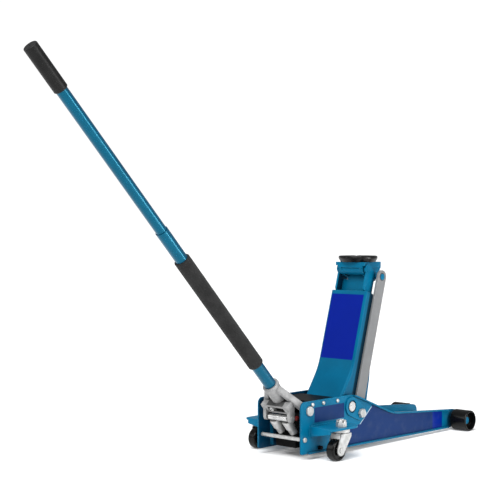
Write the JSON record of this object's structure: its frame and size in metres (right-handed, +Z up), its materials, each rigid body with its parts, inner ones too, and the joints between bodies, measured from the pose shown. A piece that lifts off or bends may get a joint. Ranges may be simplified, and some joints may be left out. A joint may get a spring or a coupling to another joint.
{
  "type": "car jack",
  "caption": "Low-profile hydraulic trolley jack: levelled lift arm with a turning saddle, pumping and twisting handle, front rollers and rear swivel casters.",
  "frame": {"origin": "on the floor, under the middle of the overall box with the arm fully raised and the handle at rest", "axes": "+X forward from the handle to the front rollers, +Y to the left, +Z up through the saddle"},
  "size_m": [1.5252, 0.314, 0.9891],
  "materials": {
    "blue_paint": "gloss enamel",
    "grey_paint": "satin enamel",
    "grey_casting": "satin cast",
    "zinc": "zinc plated",
    "steel": "bare machined",
    "chromed": "hard chrome",
    "black_paint": "satin enamel",
    "black_rubber": "matte",
    "black_nylon": "satin",
    "foam": "matte foam",
    "seal": "matte",
    "red_plastic": "gloss"
  },
  "bodies": {
    "chassis": {"side_plate_left": "blue_paint", "side_plate_right": "blue_paint", "caster_bracket_left": "blue_paint", "caster_bracket_right": "blue_paint", "front_axle": "blue_paint", "axle_washers": "zinc", "rear_tie_rod": "zinc", "arm_pivot_shaft": "steel", "link_bolts": "zinc", "handle_pivot_bolts": "zinc", "plate_screws": "zinc", "kingpins": "zinc", "castle_nuts": "zinc", "cotter_pins": "zinc", "swivel_races": "zinc", "unit_cover": "black_paint", "pump_body": "black_paint", "pump_barrels": "zinc", "filler_plug": "red_plastic", "oil_tank": "black_paint", "ram_cylinder": "steel", "gland_nut": "black_paint", "unit_mount_rod": "black_paint", "return_springs": "zinc"},
    "arm": {"arm_channel": "blue_paint", "arm_pivot_sleeve": "blue_paint", "arm_tail_pin": "steel", "arm_inner_channel": "blue_paint", "arm_braces": "blue_paint", "carrier_pin": "blue_paint"},
    "level_links": {"level_link_left": "grey_paint", "level_link_right": "grey_paint"},
    "carrier": {"saddle_carrier": "blue_paint", "link_pin": "blue_paint"},
    "saddle": {"saddle_plate": "black_paint", "saddle_pad": "black_rubber"},
    "ram": {"ram_rod": "chromed", "ram_piston": "steel", "piston_seal": "seal", "ram_head": "black_paint", "spring_bar": "zinc"},
    "yoke": {"handle_socket": "grey_casting", "roller_pin": "zinc"},
    "roller": {"pump_roller": "steel"},
    "handle": {"lower_tube": "blue_paint", "upper_tube": "blue_paint", "foam_sleeve": "foam", "hand_grip": "black_rubber", "release_driver": "zinc"},
    "valve": {"release_valve": "zinc"},
    "plungers": {"pump_plungers": "zinc"},
    "caster_left": {"caster_fork_left": "zinc", "caster_axle_left": "zinc"},
    "caster_wheel_left": {"caster_wheel_left": "black_nylon"},
    "front_roller_left": {"front_roller_left": "black_nylon"},
    "caster_right": {"caster_fork_right": "zinc", "caster_axle_right": "zinc"},
    "caster_wheel_right": {"caster_wheel_right": "black_nylon"},
    "front_roller_right": {"front_roller_right": "black_nylon"}
  },
  "joints": [
    {"name": "arm_lift", "type": "hinge", "parent": "chassis", "child": "arm", "pos_m": [0.24762, 0, 0.118], "axis": [0, 1, 0], "range_deg": [0, 83.6]},
    {"name": "link_swing", "type": "hinge", "parent": "chassis", "child": "level_links", "pos_m": [0.28562, 0, 0.0965], "axis": [0, 1, 0], "range_deg": [-0.1, 83.7]},
    {"name": "carrier_level", "type": "hinge", "parent": "arm", "child": "carrier", "pos_m": [0.35498, 0, 0.48043], "axis": [0, 1, 0], "range_deg": [-83.7, 0.1]},
    {"name": "ram_slide", "type": "slide", "parent": "chassis", "child": "ram", "axis": [1, 0, 0], "range_m": [-0.05619, 0.0002], "deforming": ["return_springs"]},
    {"name": "saddle_turn", "type": "hinge", "parent": "carrier", "child": "saddle", "pos_m": [0.37298, 0, 0.48043], "axis": [0, 0, 1], "continuous": true},
    {"name": "handle_pump", "type": "hinge", "parent": "chassis", "child": "yoke", "pos_m": [0.07362, 0, 0.124], "axis": [0, -1, 0], "range_deg": [-35, 30]},
    {"name": "plunger_stroke", "type": "slide", "parent": "chassis", "child": "plungers", "axis": [0.6428, 0, -0.766], "range_m": [-0.02189, 0.01879]},
    {"name": "roller_spin", "type": "hinge", "parent": "yoke", "child": "roller", "pos_m": [0.0414, 0, 0.10386], "axis": [0, 1, 0], "continuous": true},
    {"name": "handle_twist", "type": "hinge", "parent": "yoke", "child": "handle", "pos_m": [0.07362, 0, 0.124], "axis": [-0.6947, 0, 0.7193], "range_deg": [0, 90]},
    {"name": "valve_turn", "type": "hinge", "parent": "chassis", "child": "valve", "pos_m": [0.07362, 0, 0.124], "axis": [-0.6947, 0, 0.7193], "range_deg": [-0.1, 90.1]},
    {"name": "caster_swivel_left", "type": "hinge", "parent": "chassis", "child": "caster_left", "pos_m": [0.12962, 0.135, 0.0275], "axis": [0, 0, 1], "continuous": true},
    {"name": "caster_roll_left", "type": "hinge", "parent": "caster_left", "child": "caster_wheel_left", "pos_m": [0.10862, 0.135, 0.0275], "axis": [0, 1, 0], "continuous": true},
    {"name": "front_roll_left", "type": "hinge", "parent": "chassis", "child": "front_roller_left", "pos_m": [0.73262, 0.1105, 0.03], "axis": [0, 1, 0], "continuous": true},
    {"name": "caster_swivel_right", "type": "hinge", "parent": "chassis", "child": "caster_right", "pos_m": [0.12962, -0.135, 0.0275], "axis": [0, 0, 1], "continuous": true},
    {"name": "caster_roll_right", "type": "hinge", "parent": "caster_right", "child": "caster_wheel_right", "pos_m": [0.10862, -0.135, 0.0275], "axis": [0, 1, 0], "continuous": true},
    {"name": "front_roll_right", "type": "hinge", "parent": "chassis", "child": "front_roller_right", "pos_m": [0.73262, -0.1105, 0.03], "axis": [0, 1, 0], "continuous": true}
  ],
  "couplings": [
    {"joint": "link_swing", "follows": "arm_lift", "ratio": 1},
    {"joint": "carrier_level", "follows": "arm_lift", "ratio": -1},
    {"joint": "ram_slide", "follows": "arm_lift", "m_per_rad": -0.038372},
    {"joint": "plunger_stroke", "follows": "handle_pump", "m_per_rad": 0.0355},
    {"joint": "valve_turn", "follows": "handle_twist", "ratio": 1}
  ]
}
